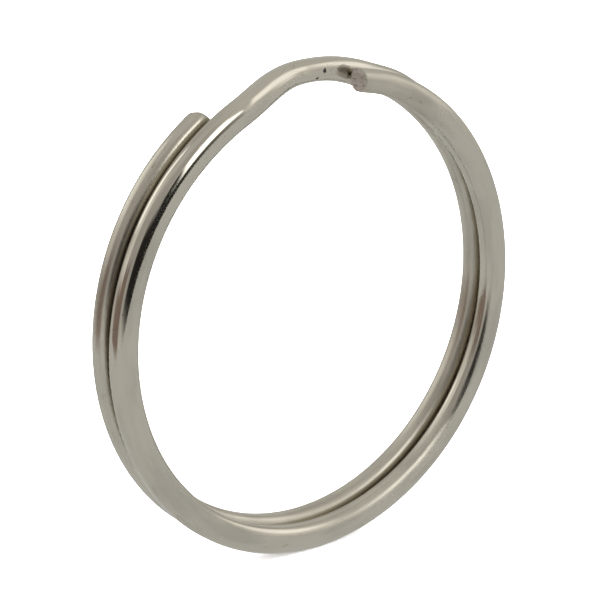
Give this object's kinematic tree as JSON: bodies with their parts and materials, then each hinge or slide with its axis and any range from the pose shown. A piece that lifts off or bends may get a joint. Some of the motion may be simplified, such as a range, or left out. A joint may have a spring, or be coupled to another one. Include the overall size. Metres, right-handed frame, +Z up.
{
  "type": "split key ring",
  "caption": "Split key ring of flattened spring wire wound almost twice round, whose two coils spring apart to take keys and fobs.",
  "frame": {"origin": "the ring's centre, half way between the two coils' own centres and half way through its thickness", "axes": "+Y along the ring's axis, from the front coil to the rear coil; +Z up, towards the crossover and the cut ends; +X to the right as seen from the front coil's side"},
  "size_m": [0.0302, 0.0026, 0.0301],
  "materials": {
    "nickel_plate": "satin nickel plating on hardened spring steel"
  },
  "bodies": {
    "crossover": {"crossover": "nickel_plate"},
    "front_upper_left": {"front_coil_upper_left": "nickel_plate"},
    "front_left": {"front_coil_left": "nickel_plate"},
    "front_lower_left": {"front_coil_lower_left": "nickel_plate"},
    "front_bottom": {"front_coil_bottom": "nickel_plate"},
    "front_lower_right": {"front_coil_lower_right": "nickel_plate"},
    "front_right": {"front_coil_right": "nickel_plate"},
    "front_upper_right": {"front_coil_upper_right": "nickel_plate"},
    "front_tip": {"front_coil_tip": "nickel_plate"},
    "rear_upper_right": {"rear_coil_upper_right": "nickel_plate"},
    "rear_right": {"rear_coil_right": "nickel_plate"},
    "rear_lower_right": {"rear_coil_lower_right": "nickel_plate"},
    "rear_bottom_right": {"rear_coil_bottom_right": "nickel_plate"},
    "rear_bottom_left": {"rear_coil_bottom_left": "nickel_plate"},
    "rear_lower_left": {"rear_coil_lower_left": "nickel_plate"},
    "rear_left": {"rear_coil_left": "nickel_plate"},
    "rear_tip": {"rear_coil_tip": "nickel_plate"}
  },
  "joints": [
    {"name": "front_upper_left_flex", "type": "hinge", "parent": "crossover", "child": "front_upper_left", "pos_m": [-0.00936, -0.00068, 0.01032], "axis": [-0.5401, 0, -0.8416], "range_deg": [0, 0.61], "stiffness_Nm_per_rad": 4.76},
    {"name": "front_left_flex", "type": "hinge", "parent": "front_upper_left", "child": "front_left", "pos_m": [-0.01382, -0.00068, 0.00222], "axis": [0.2628, 0, -0.9649], "range_deg": [0, 1.05], "stiffness_Nm_per_rad": 4.76},
    {"name": "front_lower_left_flex", "type": "hinge", "parent": "front_left", "child": "front_lower_left", "pos_m": [-0.01233, -0.00068, -0.0069], "axis": [0.707, 0, -0.7072], "range_deg": [0, 1.57], "stiffness_Nm_per_rad": 4.76},
    {"name": "front_bottom_flex", "type": "hinge", "parent": "front_lower_left", "child": "front_bottom", "pos_m": [-0.00552, -0.00068, -0.01315], "axis": [0.9515, 0, -0.3075], "range_deg": [0, 1.84], "stiffness_Nm_per_rad": 4.76},
    {"name": "front_lower_right_flex", "type": "hinge", "parent": "front_bottom", "child": "front_lower_right", "pos_m": [0.0037, -0.00068, -0.01385], "axis": [0.9999, 0, 0.0172], "range_deg": [0, 1.79], "stiffness_Nm_per_rad": 4.76},
    {"name": "front_right_flex", "type": "hinge", "parent": "front_lower_right", "child": "front_right", "pos_m": [0.01137, -0.00068, -0.0087], "axis": [0.94, 0, 0.3411], "range_deg": [0, 1.56], "stiffness_Nm_per_rad": 4.75},
    {"name": "front_upper_right_flex", "type": "hinge", "parent": "front_right", "child": "front_upper_right", "pos_m": [0.01423, -0.00068, 0.00009], "axis": [0.7769, 0, 0.6296], "range_deg": [0, 1.15], "stiffness_Nm_per_rad": 4.75},
    {"name": "front_tip_flex", "type": "hinge", "parent": "front_upper_right", "child": "front_tip", "pos_m": [0.01103, -0.00068, 0.00877], "axis": [0.5267, 0, 0.8501], "range_deg": [0, 0.61], "stiffness_Nm_per_rad": 4.75},
    {"name": "rear_upper_right_flex", "type": "hinge", "parent": "crossover", "child": "rear_upper_right", "pos_m": [0.00739, 0.00068, 0.01217], "axis": [0.6852, 0, -0.7283], "range_deg": [0, 0.71], "stiffness_Nm_per_rad": 4.87},
    {"name": "rear_right_flex", "type": "hinge", "parent": "rear_upper_right", "child": "rear_right", "pos_m": [0.01312, 0.00068, 0.00519], "axis": [-0.052, 0, -0.9986], "range_deg": [0, 1.11], "stiffness_Nm_per_rad": 4.87},
    {"name": "rear_lower_right_flex", "type": "hinge", "parent": "rear_right", "child": "rear_lower_right", "pos_m": [0.01345, 0.00068, -0.00383], "axis": [-0.541, 0, -0.841], "range_deg": [0, 1.6], "stiffness_Nm_per_rad": 4.87},
    {"name": "rear_bottom_right_flex", "type": "hinge", "parent": "rear_lower_right", "child": "rear_bottom_right", "pos_m": [0.00825, 0.00068, -0.01122], "axis": [-0.8385, 0, -0.545], "range_deg": [0, 1.8], "stiffness_Nm_per_rad": 4.88},
    {"name": "rear_bottom_left_flex", "type": "hinge", "parent": "rear_bottom_right", "child": "rear_bottom_left", "pos_m": [-0.00036, 0.00068, -0.01394], "axis": [-0.9678, 0, -0.2518], "range_deg": [0, 1.74], "stiffness_Nm_per_rad": 4.87},
    {"name": "rear_lower_left_flex", "type": "hinge", "parent": "rear_bottom_left", "child": "rear_lower_left", "pos_m": [-0.00886, 0.00068, -0.0109], "axis": [-0.9977, 0, 0.0683], "range_deg": [0, 1.5], "stiffness_Nm_per_rad": 4.87},
    {"name": "rear_left_flex", "type": "hinge", "parent": "rear_lower_left", "child": "rear_left", "pos_m": [-0.01378, 0.00068, -0.00333], "axis": [-0.9236, 0, 0.3833], "range_deg": [0, 1.1], "stiffness_Nm_per_rad": 4.87},
    {"name": "rear_tip_flex", "type": "hinge", "parent": "rear_left", "child": "rear_tip", "pos_m": [-0.01312, 0.00068, 0.00567], "axis": [-0.7515, 0, 0.6598], "range_deg": [0, 0.58], "stiffness_Nm_per_rad": 4.87}
  ]
}
